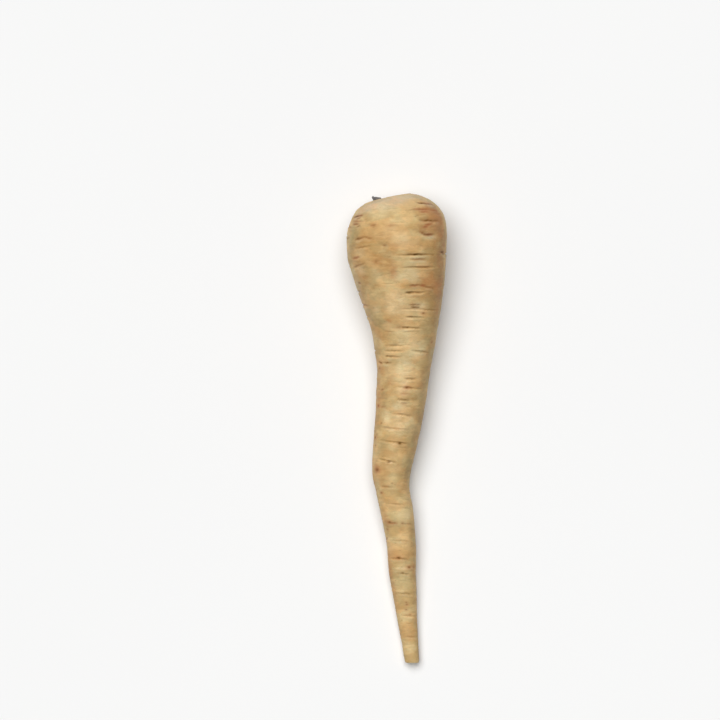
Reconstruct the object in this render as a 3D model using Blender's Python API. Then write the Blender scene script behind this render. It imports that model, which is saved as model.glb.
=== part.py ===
"""A parsnip root lying on its side, as pulled and trimmed for sale.

Run it with blender --background --python part.py, or from Blender's text editor.
Metres, +Z up. The root lies along Y with its crown towards +Y, on the plane z = 0, and the
origin is the middle of the underside of its bounding box. Two pieces: the root, and the
trimmed bases of the leaf stalks, which sit in the hollow of its crown.
"""

import math
import random

import bmesh
import bpy
from mathutils import Matrix, Vector

MM = 0.001

# The root's outline, from the crown's rim to the trimmed tip, in millimetres. Each station is
# (distance below the crown's top, sideways place of the centre, radius,
#  height of the underside above the table)
CROWN_RIM = (2.3, -5.9, 11.3, 16.1)
BODY = [
    (2.7, -6.1, 13.2, 14.2),
    (3.4, -5.4, 15.1, 12.3),
    (4.7, -4.5, 17.9, 9.5),
    (6.5, -3.4, 20.7, 6.7),
    (9.3, -2.1, 23.4, 4.0),
    (14.8, -1.4, 26.1, 1.3),
    (24.2, -1.8, 27.6, -0.25),
    (34.1, -1.9, 27.2, -0.6),
    (44.0, -0.8, 25.6, -0.2),
    (53.9, 0.5, 23.4, 0.9),
    (63.8, 1.4, 20.9, 2.2),
    (73.7, 2.4, 18.5, 3.3),
    (83.6, 2.5, 16.8, 4.0),
    (96.8, 2.1, 14.7, 4.5),
    (110.0, 0.7, 13.9, 4.8),
    (123.2, -0.5, 13.1, 4.9),
    (136.4, -2.5, 12.3, 4.8),
    (146.3, -3.9, 11.3, 4.6),
    (156.2, -4.7, 10.2, 4.2),
    (163.5, -3.9, 9.3, 3.8),
    (172.7, -2.1, 9.2, 3.1),
    (182.6, -0.4, 8.7, 2.3),
    (195.8, 1.0, 8.0, 1.2),
    (207.4, 1.4, 7.5, 0.3),
    (218.9, 2.5, 6.7, -0.2),
    (234.3, 4.1, 5.5, -0.45),
    (247.5, 5.6, 4.5, 0.2),
    (257.6, 6.7, 3.9, 0.9),
]
TIP_EDGE = (258.4, 6.8, 3.4, 1.4)

# The crown's right shoulder stands higher than its left one, and its upper side a little higher
# than its underside. Both leans are strongest at the rim and die away down the root.
LEAN = math.radians(12.0)
NOD = math.radians(3.0)
LEAN_FADE = 8.0

# The hollow in the crown: a plain round seat for the stalk bases, and a bowl from its mouth out
# to the rim. Heights are against the rim.
SEAT_RADIUS = 8.6
SEAT_FLOOR = -6.8
SEAT_MOUTH = -3.6
BOWL = [(-3.5, 9.0), (-2.3, 9.7), (-0.7, 10.6)]  # (height, radius)

# Creases run across the root in bands along four lines, where its side roots grew. Angles are in
# degrees round the root, from its right side (0) over the side that faces up (90) to its left.
# (distance below the crown's top, middle angle, half span, depth)
CREASES = [
    (9.6, 62, 24, 0.45),
    (15.2, 48, 27, 0.50),
    (17.0, 152, 20, 0.35),
    (22.3, 52, 24, 0.70),
    (24.4, 132, 24, 0.50),
    (28.6, 144, 22, 0.35),
    (33.2, 72, 36, 0.85),
    (35.8, 70, 24, 0.45),
    (38.6, 150, 22, 0.35),
    (40.4, 68, 38, 0.80),
    (50.2, 68, 30, 0.75),
    (53.9, 74, 28, 0.85),
    (61.0, 72, 22, 0.55),
    (63.6, 68, 46, 0.75),
    (67.4, 76, 30, 0.60),
    (73.2, 82, 34, 0.80),
    (82.8, 104, 32, 0.60),
    (86.0, 58, 34, 0.75),
    (89.2, 114, 34, 0.65),
    (92.4, 132, 28, 0.70),
    (101.2, 70, 34, 0.65),
    (106.4, 76, 50, 0.70),
    (113.2, 84, 34, 0.60),
    (121.2, 88, 44, 0.70),
    (128.8, 98, 58, 0.60),
    (136.2, 92, 72, 0.80),
    (146.4, 104, 54, 0.70),
    (150.0, 66, 40, 0.35),
    (161.0, 92, 44, 0.40),
    (170.4, 108, 40, 0.40),
    (180.6, 92, 56, 0.45),
    (190.2, 84, 36, 0.35),
    (200.0, 106, 50, 0.60),
    (208.0, 94, 46, 0.45),
    (219.6, 88, 50, 0.35),
    (232.0, 92, 44, 0.30),
    (243.6, 86, 50, 0.25),
]
HIDDEN_LINES = (180.0, 242.0, 328.0)  # the creased lines on the sides and the underside
CREASE_HALF_WIDTH = 1.1
CREASE_LIP = 0.3  # height of the raised lip under a crease, as a share of its depth

LUMPS = 0.035  # how far the root is from round, as a share of its radius
SIDES = 32
LONGEST_STRIDE = 5.2  # between two rings where the root is smooth

# The leaf stalks' bases, trimmed short, on a disc that fills the seat. Heights are against the
# crown's rim, and angles are degrees round the crown's middle, from its right.
CLEARANCE = 0.3
PLUG_TOP = -3.5
STUB_ROOT = -5.0
OUTER_STUBS = 5
INNER_STUBS = 4
OUTER_STUB = (6.4, 2.7, 0.8)  # distance from the middle, half width, how far it splays outwards
INNER_STUB = (3.9, 1.6, 0.5)
FIRST_STUB = (4.7, 2.1, 1.05, 3.3)  # the tallest: half width, top, slant of its cut, splay
FIRST_STUB_ANGLE = 150.0
GOLDEN_ANGLE = 137.5
STUB_THICKNESS = 1.5
STALK_STEPS = 5
BUD_RADIUS = 2.3
BUD_MIDDLE = -4.2
BUD_TOP = -0.9
SEED = 11


def spline(stations, at):
    """The stations' values at distance `at`, on a smooth curve through them."""
    last = len(stations) - 1
    i = 0
    while i < last - 1 and stations[i + 1][0] <= at:
        i += 1
    a, b = stations[i], stations[i + 1]
    before, after = stations[max(i - 1, 0)], stations[min(i + 2, last)]
    step = b[0] - a[0]
    t = (at - a[0]) / step
    values = []
    for k in range(1, len(a)):
        slope_a = (b[k] - before[k]) / (b[0] - before[0]) * step
        slope_b = (after[k] - a[k]) / (after[0] - a[0]) * step
        values.append(
            (2 * t**3 - 3 * t**2 + 1) * a[k]
            + (t**3 - 2 * t**2 + t) * slope_a
            + (3 * t**2 - 2 * t**3) * b[k]
            + (t**3 - t**2) * slope_b
        )
    return values


def roundness(along, angle):
    """The root's radius as a share of the even one. Lumps die away at the left and right side,
    so that the outline seen from above is the one in BODY."""
    turn = math.radians(along * 1.1)
    lumps = 0.55 * math.cos(2 * angle + turn) + 0.45 * math.cos(3 * angle - 1.7 * turn + 0.8)
    return 1.0 + LUMPS * lumps * math.sin(angle) ** 2


def hidden_creases():
    """Creases for the sides and the underside, on the same rings as those in CREASES."""
    rng = random.Random(SEED)
    found = []
    for along, _, _, depth in CREASES:
        for line in HIDDEN_LINES:
            if rng.random() < 0.42:
                middle = line + rng.uniform(-14.0, 14.0)
                found.append((along, middle, rng.uniform(16.0, 34.0), depth * rng.uniform(0.6, 1.0)))
    return found


def crease_depth(along, angle, creases):
    """How far the surface is pressed in at this point, in millimetres."""
    pressed = 0.0
    for middle_along, middle, half_span, depth in creases:
        off = (along - middle_along) / CREASE_HALF_WIDTH
        if abs(off) > 1.5:
            continue
        turned = (math.degrees(angle) - middle + 180.0) % 360.0 - 180.0
        share = 1.0 - (turned / half_span) ** 2
        if share <= 0.0:
            continue
        groove = max(0.0, 1.0 - abs(off))
        lip = CREASE_LIP * max(0.0, 1.0 - abs(off - 1.0))
        pressed += depth * share * (groove - lip)
    return pressed


def crown_shift(along, right, near):
    """The crown's leans at a ring: how far a point there is moved down the root. `right` and
    `near` are the point's place against the ring's centre."""
    share = min(1.0, math.exp((CROWN_RIM[0] - along) / LEAN_FADE))
    return -share * (math.tan(LEAN) * right + math.tan(NOD) * near)


def ring(along, centre, radius, underside, creases):
    """One ring of points round the root: (x, distance below the crown's top, z)."""
    raw = []
    for k in range(SIDES):
        angle = 2 * math.pi * k / SIDES
        even = radius * roundness(along, angle)
        raw.append((angle, even, even - crease_depth(along, angle, creases)))
    lowest = min(even * math.sin(angle) for angle, even, _ in raw)
    lift = underside - lowest
    points = []
    for angle, _, reach in raw:
        right, near = reach * math.cos(angle), reach * math.sin(angle)
        down = along + crown_shift(along, right, near)
        points.append((centre + right, down, max(0.0, near + lift)))
    return points


def ring_places():
    """Where the rings lie along the root: at the stations of the crown and the tip, at each
    crease and both its edges, and between those wherever the gap is long."""
    first_crease = CREASES[0][0] - CREASE_HALF_WIDTH
    marks = [s[0] for s in BODY if s[0] < first_crease] + [BODY[-1][0]]
    for along, _, _, _ in CREASES:
        marks += [along - CREASE_HALF_WIDTH, along, along + CREASE_HALF_WIDTH]
    marks.sort()
    places = [marks[0]]
    for mark in marks[1:]:
        gap = mark - places[-1]
        if gap < 0.45:
            continue
        steps = math.ceil(gap / LONGEST_STRIDE)
        start = places[-1]
        places += [start + gap * (k + 1) / steps for k in range(steps)]
    return places


def crown_point(right, near, height):
    """A point in or over the crown's hollow, in the rim's own leaning frame."""
    along, centre, rim_radius, underside = CROWN_RIM
    down = along - height + crown_shift(along, right, near)
    return centre + right, down, underside + rim_radius + near


def crown_ring(height, radius):
    """A ring of points in the crown's hollow, `height` above the rim."""
    angles = [2 * math.pi * k / SIDES for k in range(SIDES)]
    return [crown_point(radius * math.cos(a), radius * math.sin(a), height) for a in angles]


def place(x, down, z):
    """Millimetres, with the distance below the crown's top, to a point in metres."""
    return Vector((x, -down, z)) * MM


def loft(name, loops):
    """A closed mesh through loops of points, with a flat cap on its first and last loop."""
    bm = bmesh.new()
    rows = [[bm.verts.new(point) for point in loop] for loop in loops]
    for row, following in zip(rows, rows[1:]):
        for k in range(len(row)):
            nxt = (k + 1) % len(row)
            bm.faces.new((row[k], row[nxt], following[nxt], following[k]))
    bm.faces.new(rows[0])
    bm.faces.new(rows[-1])
    return finished(name, bm)


def finished(name, bm):
    """The bmesh as a mesh with its faces pointing out, shaded smooth but for its sharp edges."""
    bmesh.ops.recalc_face_normals(bm, faces=bm.faces)
    mesh = bpy.data.meshes.new(name)
    bm.to_mesh(mesh)
    bm.free()
    mesh.shade_smooth()
    mesh.set_sharp_from_angle(angle=math.radians(50))
    return mesh


def material(name, colour, roughness):
    made = bpy.data.materials.new(name)
    made.use_nodes = True
    shader = made.node_tree.nodes["Principled BSDF"]
    shader.inputs["Base Color"].default_value = (*colour, 1.0)
    shader.inputs["Roughness"].default_value = roughness
    shader.inputs["Metallic"].default_value = 0.0
    return made


def add_object(name, mesh, skin):
    obj = bpy.data.objects.new(name, mesh)
    bpy.context.scene.collection.objects.link(obj)
    obj.data.materials.append(skin)
    return obj


def make_root():
    """The root, from the seat in its crown out over the rim and down to the trimmed tip."""
    creases = CREASES + hidden_creases()
    rings = [crown_ring(SEAT_FLOOR, SEAT_RADIUS), crown_ring(SEAT_MOUTH, SEAT_RADIUS)]
    rings += [crown_ring(height, radius) for height, radius in BOWL]
    rings.append(crown_ring(0.0, CROWN_RIM[2]))
    rings += [ring(along, *spline(BODY, along), creases) for along in ring_places()]
    rings.append(ring(*TIP_EDGE, creases))
    mesh = loft("root", [[place(*point) for point in points] for points in rings])
    return add_object("parsnip_root", mesh, material("parsnip_skin", (0.60, 0.41, 0.20), 0.62))


def plug_mesh():
    """The disc that the stalk bases grow from, sunk in the crown's seat."""
    radius = SEAT_RADIUS - CLEARANCE
    levels = [(SEAT_FLOOR + CLEARANCE, radius), (PLUG_TOP - 0.4, radius), (PLUG_TOP, radius - 0.5)]
    loops = [[place(*point) for point in crown_ring(height, reach)] for height, reach in levels]
    return loft("plug", loops)


def stalk_section(reach, half_width, thickness):
    """A leaf stalk's section: a crescent on a circle of radius `reach` round the crown's middle,
    thinner towards its two ends. Points are (outward, sideways)."""
    points = []
    for side in (1, -1):
        for k in range(STALK_STEPS + 1):
            share = (2.0 * k / STALK_STEPS - 1.0) * side
            angle = share * half_width / reach
            half_thickness = thickness * (1.0 - 0.7 * share**2) / 2
            out = reach * math.cos(angle) + side * half_thickness
            points.append((out, reach * math.sin(angle)))
    return points


def stub_mesh(angle, reach, half_width, top, slant, splay):
    """One stalk base: its crescent carried up from inside the plug and splayed outwards, with a
    slanting cut on top. `slant` is how far the cut rises from its middle to its one end."""
    section = stalk_section(reach, half_width, STUB_THICKNESS)
    cos_a, sin_a = math.cos(math.radians(angle)), math.sin(math.radians(angle))
    loops = []
    for share in (0.0, 0.5, 1.0):
        height = STUB_ROOT + (top - STUB_ROOT) * share
        loop = []
        for out, side in section:
            out += splay * share
            right, near = cos_a * out - sin_a * side, sin_a * out + cos_a * side
            loop.append(place(*crown_point(right, near, height + slant * share * side / half_width)))
        loops.append(loop)
    return loft("stub", loops)


def bud_mesh():
    """The short bud in the middle of the crown."""
    bm = bmesh.new()
    bmesh.ops.create_icosphere(bm, subdivisions=2, radius=1.0)
    for v in bm.verts:
        half_height = BUD_TOP - BUD_MIDDLE if v.co.z > 0 else BUD_MIDDLE - STUB_ROOT
        height = BUD_MIDDLE + half_height * v.co.z
        v.co = place(*crown_point(v.co.x * BUD_RADIUS, v.co.y * BUD_RADIUS, height))
    return finished("bud", bm)


def stub_meshes():
    """The stalk bases, each turned from the last by the golden angle, as leaves grow: an outer
    round of them and an inner one, cut at uneven heights."""
    rng = random.Random(SEED)
    meshes = []
    for k in range(OUTER_STUBS + INNER_STUBS):
        angle = FIRST_STUB_ANGLE + GOLDEN_ANGLE * k
        reach, half_width, splay = OUTER_STUB if k < OUTER_STUBS else INNER_STUB
        top, slant = rng.uniform(-1.5, 0.4), rng.uniform(-0.5, 0.5)
        if k == 0:
            half_width, top, slant, splay = FIRST_STUB
        meshes.append(stub_mesh(angle, reach, half_width, top, slant, splay))
    return meshes


def make_stalk_bases():
    """The stalk bases and the bud, joined to their disc by one Boolean union."""
    skin = material("stalk_skin", (0.12, 0.10, 0.075), 0.8)
    bases = add_object("leaf_stalk_bases", plug_mesh(), skin)
    growths = bpy.data.collections.new("growths")
    bpy.context.scene.collection.children.link(growths)
    for mesh in [bud_mesh()] + stub_meshes():
        growths.objects.link(bpy.data.objects.new(mesh.name, mesh))
    union = bases.modifiers.new("join", "BOOLEAN")
    union.operation = "UNION"
    union.operand_type = "COLLECTION"
    union.collection = growths
    joined = bpy.data.meshes.new_from_object(
        bases.evaluated_get(bpy.context.evaluated_depsgraph_get())
    )
    bases.modifiers.clear()
    bases.data = joined
    joined.materials.clear()
    joined.materials.append(skin)
    for obj in list(growths.objects):
        bpy.data.objects.remove(obj)
    bpy.data.collections.remove(growths)
    return bases


def centre_over_origin(objects):
    """Moves the pieces sideways, so that the middle of their bounding box is over the origin."""
    points = [v.co for obj in objects for v in obj.data.vertices]
    middle = [(min(p[k] for p in points) + max(p[k] for p in points)) / 2 for k in (0, 1)]
    shift = Matrix.Translation((-middle[0], -middle[1], 0.0))
    for obj in objects:
        obj.data.transform(shift)


def main():
    for obj in list(bpy.data.objects):
        bpy.data.objects.remove(obj)
    centre_over_origin([make_root(), make_stalk_bases()])


main()
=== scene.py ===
"""The looks of a parsnip that lies on its side: skin, trimmed stalk bases, floor, light, camera.

Lengths are in millimetres until a point is placed, and in metres from there on. "Down" is the
distance below the crown's top, along the root. x is the place across the root, to the right as
seen from above. Angles go round the root in degrees: 0 is its right side, 90 the side that faces
up, 180 its left side.
"""

import math
import random

import bmesh
import bpy
import numpy as np
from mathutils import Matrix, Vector, noise


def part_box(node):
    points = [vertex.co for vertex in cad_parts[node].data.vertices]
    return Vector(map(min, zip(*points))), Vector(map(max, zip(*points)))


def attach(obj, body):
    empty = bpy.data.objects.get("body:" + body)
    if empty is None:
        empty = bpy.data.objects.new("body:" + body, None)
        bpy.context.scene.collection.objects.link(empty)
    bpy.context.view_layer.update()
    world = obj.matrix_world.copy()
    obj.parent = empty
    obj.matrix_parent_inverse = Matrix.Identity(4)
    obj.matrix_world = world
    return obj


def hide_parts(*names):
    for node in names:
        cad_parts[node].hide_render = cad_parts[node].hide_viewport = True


MM = 0.001
SEED = 11

# The root's outline, the same as its solid's. Each station is
# (down, middle's place across, radius, height of the underside above the table).
RIM = (2.3, -5.9, 11.3, 16.1)
BODY = [
    (2.7, -6.1, 13.2, 14.2),
    (3.4, -5.4, 15.1, 12.3),
    (4.7, -4.5, 17.9, 9.5),
    (6.5, -3.4, 20.7, 6.7),
    (9.3, -2.1, 23.4, 4.0),
    (14.8, -1.4, 26.1, 1.3),
    (24.2, -1.8, 27.6, -0.25),
    (34.1, -1.9, 27.2, -0.6),
    (44.0, -0.8, 25.6, -0.2),
    (53.9, 0.5, 23.4, 0.9),
    (63.8, 1.4, 20.9, 2.2),
    (73.7, 2.4, 18.5, 3.3),
    (83.6, 2.5, 16.8, 4.0),
    (96.8, 2.1, 14.7, 4.5),
    (110.0, 0.7, 13.9, 4.8),
    (123.2, -0.5, 13.1, 4.9),
    (136.4, -2.5, 12.3, 4.8),
    (146.3, -3.9, 11.3, 4.6),
    (156.2, -4.7, 10.2, 4.2),
    (163.5, -3.9, 9.3, 3.8),
    (172.7, -2.1, 9.2, 3.1),
    (182.6, -0.4, 8.7, 2.3),
    (195.8, 1.0, 8.0, 1.2),
    (207.4, 1.4, 7.5, 0.3),
    (218.9, 2.5, 6.7, -0.2),
    (234.3, 4.1, 5.5, -0.45),
    (247.5, 5.6, 4.5, 0.2),
    (257.6, 6.7, 3.9, 0.9),
]
TIP_EDGE = (258.4, 6.8, 3.4, 1.4)
TIP_CUT_RADII = (3.1, 2.7, 2.3, 1.9, 1.5, 1.1, 0.7, 0.3)  # rings on the trimmed tip's face

# The crown leans: its right side and the side that faces up reach further than the other two. The
# lean fades out along the root.
LEAN = math.radians(12.0)
NOD = math.radians(3.0)
LEAN_FADE = 8.0
LUMPS = 0.035  # how far a section strays from a circle, as a share of its radius

# The crown's hollow. Heights are against its rim.
SEAT_RADIUS = 8.6
SEAT_FLOOR = -6.8
SEAT_MOUTH = -3.6
SEAT_RADII = (1.0, 3.5, 6.0)
SEAT_WALL_STEPS = 6
BOWL = [(-3.5, 9.0), (-2.3, 9.7), (-0.7, 10.6)]  # (height, radius)

SEGMENTS = 128
RING_STEP = 0.37  # between two rings, measured on the skin
CROWN_RINGS = 30  # the first rings of the skin, which are no place for a hidden crease or spot
SHARP_EDGE = math.radians(60.0)  # an edge with a steeper turn than this is not shaded smooth

# A place that is seen from above is found on the skin in this many steps. It lies no further out
# than this share of the radius.
SETTLING_STEPS = 12
NEAR_OUTLINE = 0.97

# Creases and spots that show from above are listed by their upper left edges. Their middles lie
# this much lower and this much further right.
EDGE_TO_MIDDLE = (0.4, 0.5)

# Creases that show from above: (down and x of its left end, x of its right end, how much lower
# the right end lies, depth, darkness, redness).
CREASES = [
    (4.7, 8.8, 17.6, 0.6, 0.35, 0.75, 0.6),
    (4.6, 8.6, 13.6, 0.1, 0.35, 0.9, 0.3),
    (8.2, 6.0, 16.5, 0.0, 0.35, 0.4, 0.9),
    (9.6, 9.9, 15.4, -0.2, 0.2, 0.22, 0.9),
    (8.6, 15.0, 20.6, 0.5, 0.15, 0.2, 0.8),
    (10.2, 17.4, 22.4, 0.4, 0.15, 0.14, 0.6),
    (14.4, 9.8, 20.9, 0.1, 0.45, 0.82, 0.3),
    (16.9, 12.8, 17.8, -0.9, 0.2, 0.4, 0.9),
    (18.6, 11.8, 15.4, -1.2, 0.2, 0.15, 0.9),
    (20.6, 10.3, 13.9, 1.5, 0.4, 0.75, 0.8),
    (22.1, 12.0, 18.2, 0.3, 0.75, 0.66, 1.0),
    (31.5, 21.6, 25.4, 0.5, 0.4, 1.0, 0.5),
    (32.6, 22.4, 25.0, 0.3, 0.3, 0.85, 0.3),
    (12.6, -26.0, -20.4, -1.1, 0.4, 1.1, 0.9),
    (13.4, -24.2, -21.6, -0.4, 0.2, 0.4, 0.8),
    (14.9, -26.2, -19.8, 0.0, 0.25, 0.2, 0.5),
    (16.6, -26.4, -22.6, -0.2, 0.3, 0.38, 0.8),
    (17.8, -24.2, -22.0, -0.4, 0.2, 0.5, 0.3),
    (25.0, -24.9, -19.5, -1.5, 0.5, 0.95, 0.4),
    (23.3, -20.2, -15.6, 1.2, 0.4, 0.5, 0.3),
    (29.7, -25.2, -16.4, -1.2, 0.4, 0.5, 0.1),
    (35.4, -26.4, -22.4, -1.0, 0.35, 0.55, 0.9),
    (40.9, -26.6, -19.2, -3.2, 0.3, 0.5, 0.1),
    (48.7, -23.7, -21.6, 0.2, 0.3, 0.6, 0.5),
    (33.5, -2.8, 18.2, -0.3, 0.75, 0.4, 0.2),
    (33.1, 3.4, 12.8, -0.1, 0.35, 1.1, 0.0),
    (35.9, 4.4, 14.2, 0.0, 0.35, 0.4, 0.6),
    (40.4, -0.4, 19.0, -0.3, 0.65, 0.28, 0.1),
    (40.1, 8.6, 16.4, 0.1, 0.3, 0.36, 0.2),
    (50.4, 4.4, 10.8, -0.5, 0.5, 0.42, 0.9),
    (50.0, 10.4, 14.0, 0.2, 0.3, 0.28, 1.0),
    (50.3, 12.2, 18.2, 1.4, 0.4, 0.55, 0.2),
    (54.3, 2.0, 14.0, -0.4, 0.9, 0.62, 0.1),
    (54.2, 2.8, 7.4, -0.3, 0.5, 1.2, 0.1),
    (60.8, 4.4, 11.2, 0.1, 0.45, 0.72, 0.5),
    (61.8, 4.8, 11.0, 0.5, 0.5, 1.0, 0.6),
    (62.8, -0.4, 20.0, 0.9, 0.5, 0.35, 0.1),
    (67.5, 2.6, 13.2, 0.1, 0.6, 0.55, 0.0),
    (67.4, 2.9, 7.2, 0.1, 0.35, 0.78, 0.0),
    (73.2, -0.2, 11.4, 0.3, 0.75, 0.5, 0.0),
    (73.1, 0.5, 5.4, 0.2, 0.35, 1.1, 0.1),
    (75.3, -8.8, -3.6, 0.2, 0.3, 0.25, 0.2),
    (75.7, 0.8, 7.0, -0.2, 0.25, 0.25, 0.0),
    (80.7, 8.2, 11.2, 0.3, 0.2, 0.2, 0.1),
    (82.8, -8.9, 2.4, 0.3, 0.45, 0.5, 0.0),
    (85.9, -9.4, 1.4, 0.3, 0.5, 0.5, 0.0),
    (85.7, 5.6, 15.2, 1.2, 0.6, 0.4, 0.0),
    (86.1, 6.2, 13.0, 0.6, 0.3, 0.5, 0.0),
    (88.9, -8.4, 0.2, 0.5, 0.5, 0.5, 0.1),
    (88.9, -8.4, -5.2, 0.2, 0.3, 0.9, 0.1),
    (91.8, -12.2, -9.8, 0.9, 0.35, 0.75, 0.6),
    (92.3, -9.9, -5.0, 0.4, 0.45, 0.75, 0.1),
    (100.9, 1.6, 8.4, 0.7, 0.45, 0.7, 0.1),
    (105.7, -3.0, 11.6, 1.3, 0.6, 0.5, 0.0),
    (105.7, 1.8, 6.0, 0.3, 0.3, 0.6, 0.5),
    (109.4, -1.0, 6.2, 0.3, 0.2, 0.2, 0.4),
    (112.4, -2.4, 4.6, 0.8, 0.5, 0.8, 0.0),
    (114.4, -0.4, 3.4, 0.6, 0.15, 0.16, 0.5),
    (116.5, -12.8, -8.0, 0.2, 0.15, 0.14, 0.4),
    (120.4, -5.2, 7.1, 1.4, 0.45, 0.4, 0.0),
    (120.8, -1.2, 1.0, 0.2, 0.2, 0.6, 0.0),
    (121.6, 3.0, 5.2, 0.4, 0.2, 0.5, 0.0),
    (127.8, -10.8, 4.6, 1.6, 0.35, 0.18, 0.3),
    (129.9, -8.8, -6.4, 0.3, 0.2, 0.28, 0.0),
    (135.0, -12.2, 4.6, 2.2, 0.6, 0.38, 0.0),
    (136.6, -3.0, 2.6, 0.5, 0.3, 0.38, 0.0),
    (145.4, -12.4, -1.8, 2.2, 0.6, 0.5, 0.0),
    (148.6, -3.2, 1.2, 0.2, 0.15, 0.12, 0.1),
    (160.6, -11.2, -3.0, 0.5, 0.35, 0.35, 0.2),
    (169.9, -8.6, 2.4, 0.7, 0.35, 0.35, 0.1),
    (180.6, -7.9, -1.2, 0.4, 0.35, 0.3, 0.8),
    (181.0, 0.4, 6.2, 0.4, 0.25, 0.25, 0.2),
    (190.3, -5.0, 5.2, 0.5, 0.3, 0.3, 0.1),
    (200.2, -5.5, 4.0, 0.5, 0.5, 0.48, 0.3),
    (208.4, -2.6, 5.2, 0.4, 0.4, 0.45, 0.0),
    (219.4, -3.2, 6.8, 0.6, 0.35, 0.4, 0.1),
    (231.8, 0.4, 8.2, 0.4, 0.3, 0.4, 0.1),
    (243.4, 2.2, 8.6, 0.4, 0.25, 0.35, 0.2),
]

# The bands of creases on the hidden sides, as in the solid: (down, depth).
HIDDEN_BANDS = [
    (9.6, 0.45), (15.2, 0.50), (17.0, 0.35), (22.3, 0.70), (24.4, 0.50), (28.6, 0.35),
    (33.2, 0.85), (35.8, 0.45), (38.6, 0.35), (40.4, 0.80), (50.2, 0.75), (53.9, 0.85),
    (61.0, 0.55), (63.6, 0.75), (67.4, 0.60), (73.2, 0.80), (82.8, 0.60), (86.0, 0.75),
    (89.2, 0.65), (92.4, 0.70), (101.2, 0.65), (106.4, 0.70), (113.2, 0.60), (121.2, 0.70),
    (128.8, 0.60), (136.2, 0.80), (146.4, 0.70), (150.0, 0.35), (161.0, 0.40), (170.4, 0.40),
    (180.6, 0.45), (190.2, 0.35), (200.0, 0.60), (208.0, 0.45), (219.6, 0.35), (232.0, 0.30),
    (243.6, 0.25),
]
HIDDEN_LINES = (180.0, 242.0, 328.0)
HIDDEN_SHARE = 0.42  # of the crossings of a band and a line that have a crease
THIN_CREASE = 0.32  # a faint crease's half width, and what the darkest adds to it
DARK_CREASE = 0.22
CREASE_LIP = 0.3
CREASE_WAVER = 0.35  # how far a crease strays from its straight line
CREASE_REACH = 5.0  # how far above and below its ends it may mark the skin
WRINKLES = 420  # fine ones, all round
WRINKLE_WIDTH = 0.3
FRONT_LINE = 72.0  # the line on the side that faces up along which they are thickest

# Dark spots where side roots and pores were: (down, x, radius, darkness, redness).
SPOTS = [
    (17.0, -15.0, 0.6, 0.6, 0.5),
    (17.4, -5.5, 0.6, 0.3, 0.3),
    (37.2, -13.4, 0.7, 0.4, 0.4),
    (65.3, 12.4, 0.5, 0.7, 0.6),
    (73.2, -1.2, 0.8, 0.25, 0.3),
    (106.1, 3.3, 0.6, 0.9, 0.9),
    (116.1, -12.6, 0.42, 0.6, 0.9),
    (133.5, -14.1, 0.45, 0.7, 0.9),
    (136.8, -0.6, 0.75, 1.0, 0.1),
    (147.0, -6.6, 0.6, 0.8, 0.1),
    (151.4, -13.3, 0.9, 0.7, 0.9),
    (164.0, -10.8, 0.4, 0.5, 0.8),
    (180.3, -6.2, 0.6, 0.6, 0.8),
    (200.0, -1.2, 0.7, 0.9, 0.5),
    (205.2, 4.6, 0.6, 0.6, 0.7),
    (208.4, 0.9, 0.6, 0.7, 0.0),
]
RANDOM_SPOTS = 70

# Blotches of colour in the skin, some of them painted shade and sheen, as noted at each list: (down,
# x, half height, half width on the skin, strength).
# Reddish brown marks in the skin. Those at x 21 and more lie along the right flank, where they are
# also painted shade, darkening the side that turns away from the light.
WARM_AND_FLANK_SHADE = [
    (6.8, 17.0, 2.0, 4.0, 0.35),
    (9.4, 18.2, 4.0, 4.0, 1.7),
    (112.2, 2.2, 2.0, 3.0, 0.25),
    (10.0, 13.5, 3.5, 4.0, 0.4),
    (16.0, 21.0, 6.0, 5.0, 0.8),
    (18.5, 22.5, 5.0, 3.5, 0.4),
    (18.5, 15.5, 3.6, 6.0, 0.8),
    (25.0, 22.5, 6.0, 5.0, 0.35),
    (35.5, 22.0, 5.5, 3.5, 0.8),
    (27.0, 24.5, 8.0, 3.5, 0.35),
    (50.0, 23.0, 8.0, 3.5, 0.7),
    (83.5, -12.5, 3.0, 2.5, 0.3),
    (104.0, -11.5, 3.0, 2.5, 0.3),
    (99.0, 12.6, 2.5, 2.5, 0.4),
    (148.0, -13.6, 2.0, 2.5, 0.35),
    (48.5, 18.0, 5.0, 6.0, 0.8),
    (55.0, 21.5, 13.0, 4.5, 0.55),
    (43.8, -3.2, 3.8, 2.0, 1.1),
    (46.5, 9.5, 3.5, 5.0, 0.5),
    (28.6, 3.3, 2.0, 9.0, 0.35),
    (13.6, -24.0, 3.5, 4.5, 0.7),
    (21.0, -27.0, 3.0, 3.0, 0.35),
    (43.0, -21.5, 6.0, 4.5, 0.4),
    (58.0, -20.0, 9.0, 3.5, 0.4),
    (69.8, -6.0, 1.0, 1.6, 0.8),
    (78.0, -11.5, 5.0, 3.0, 0.25),
    (96.0, -11.9, 6.0, 6.5, 0.38),
    (96.0, -4.5, 4.0, 4.0, 0.4),
    (103.5, -11.8, 2.6, 2.4, 0.5),
    (103.5, -5.5, 3.4, 2.8, 0.5),
    (108.6, 2.2, 1.5, 1.2, 0.8),
    (105.5, 12.0, 4.0, 3.0, 0.4),
    (111.5, -12.3, 4.0, 5.5, 0.6),
    (117.5, -12.6, 2.0, 2.0, 0.5),
    (126.5, -13.2, 5.5, 4.6, 0.3),
    (130.0, 8.0, 3.0, 2.5, 0.3),
    (134.5, -13.0, 2.4, 2.2, 0.35),
    (141.5, -14.2, 4.0, 5.0, 0.1),
    (151.4, -13.4, 2.4, 2.6, 0.4),
    (158.0, -13.2, 3.0, 4.0, 0.15),
    (179.5, -7.8, 4.0, 2.6, 0.55),
    (197.5, -4.6, 3.2, 4.0, 0.45),
    (205.0, -5.8, 9.0, 2.0, 0.6),
    (207.5, 7.6, 5.0, 1.8, 0.4),
    (217.0, -3.6, 7.0, 2.0, 0.5),
]
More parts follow.
